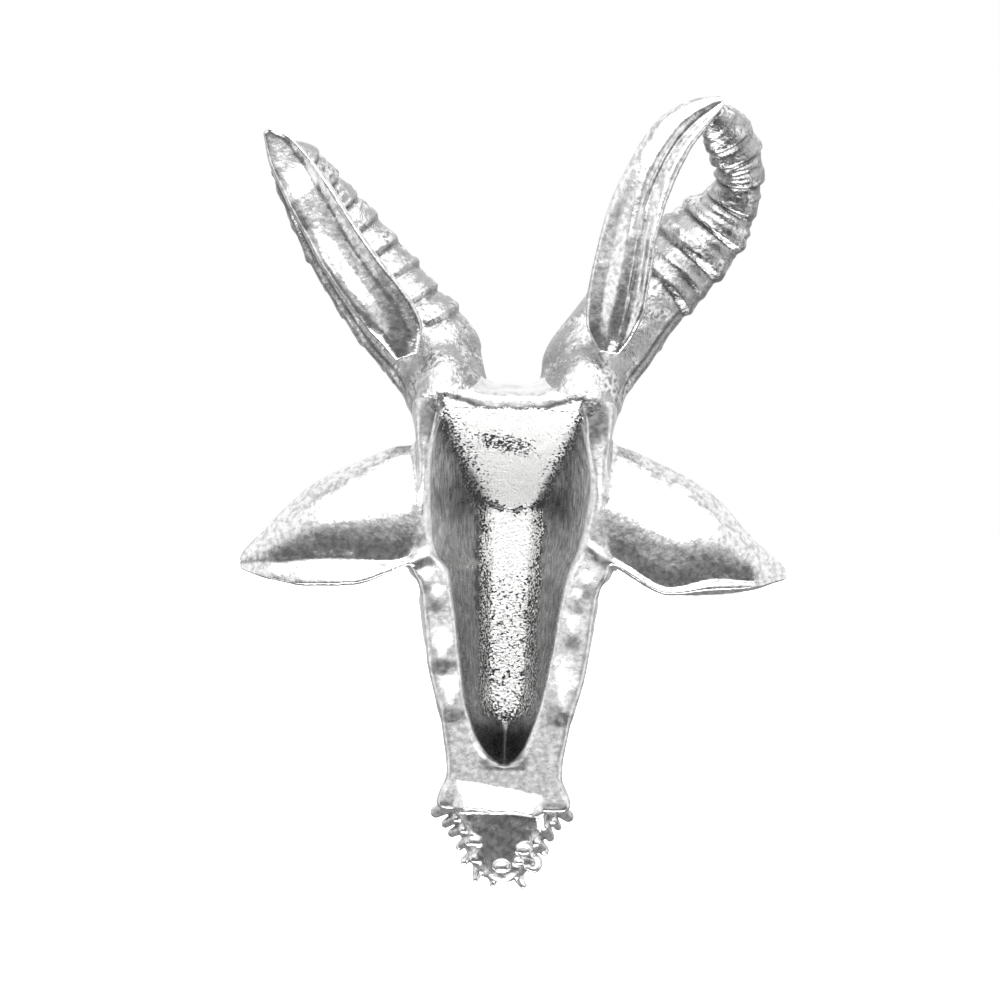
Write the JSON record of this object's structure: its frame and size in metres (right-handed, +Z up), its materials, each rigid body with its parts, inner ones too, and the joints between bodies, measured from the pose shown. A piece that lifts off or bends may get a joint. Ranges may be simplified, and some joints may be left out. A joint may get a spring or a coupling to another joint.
{
  "type": "goat head pendant",
  "caption": "Cast white-metal goat-head pendant with ridged looped horns, leaf-shaped ears, a curled beard and a hollow back.",
  "frame": {"origin": "hanging point: midway between the two horn loops, in the plane of the flat back of the head", "axes": "+Z up from the beard to the horns, -Y out of the flat back of the head, +Y towards the goat's face, +X to the right seen from behind"},
  "size_m": [0.0305, 0.0107, 0.0442],
  "materials": {
    "cast_back": "as-cast silver-coloured white metal, satin and grainy",
    "worked_silver": "filed and tumbled white metal, dark in the hollows",
    "polished_silver": "polished white metal with fine scratches"
  },
  "bodies": {
    "root": {"head_shell": "cast_back", "beard": "worked_silver", "left_horn_boss": "worked_silver", "right_horn_boss": "worked_silver", "left_horn": "worked_silver", "right_horn": "worked_silver", "left_horn_strap": "polished_silver", "right_horn_strap": "polished_silver", "left_ear": "polished_silver", "right_ear": "polished_silver"}
  },
  "joints": []
}
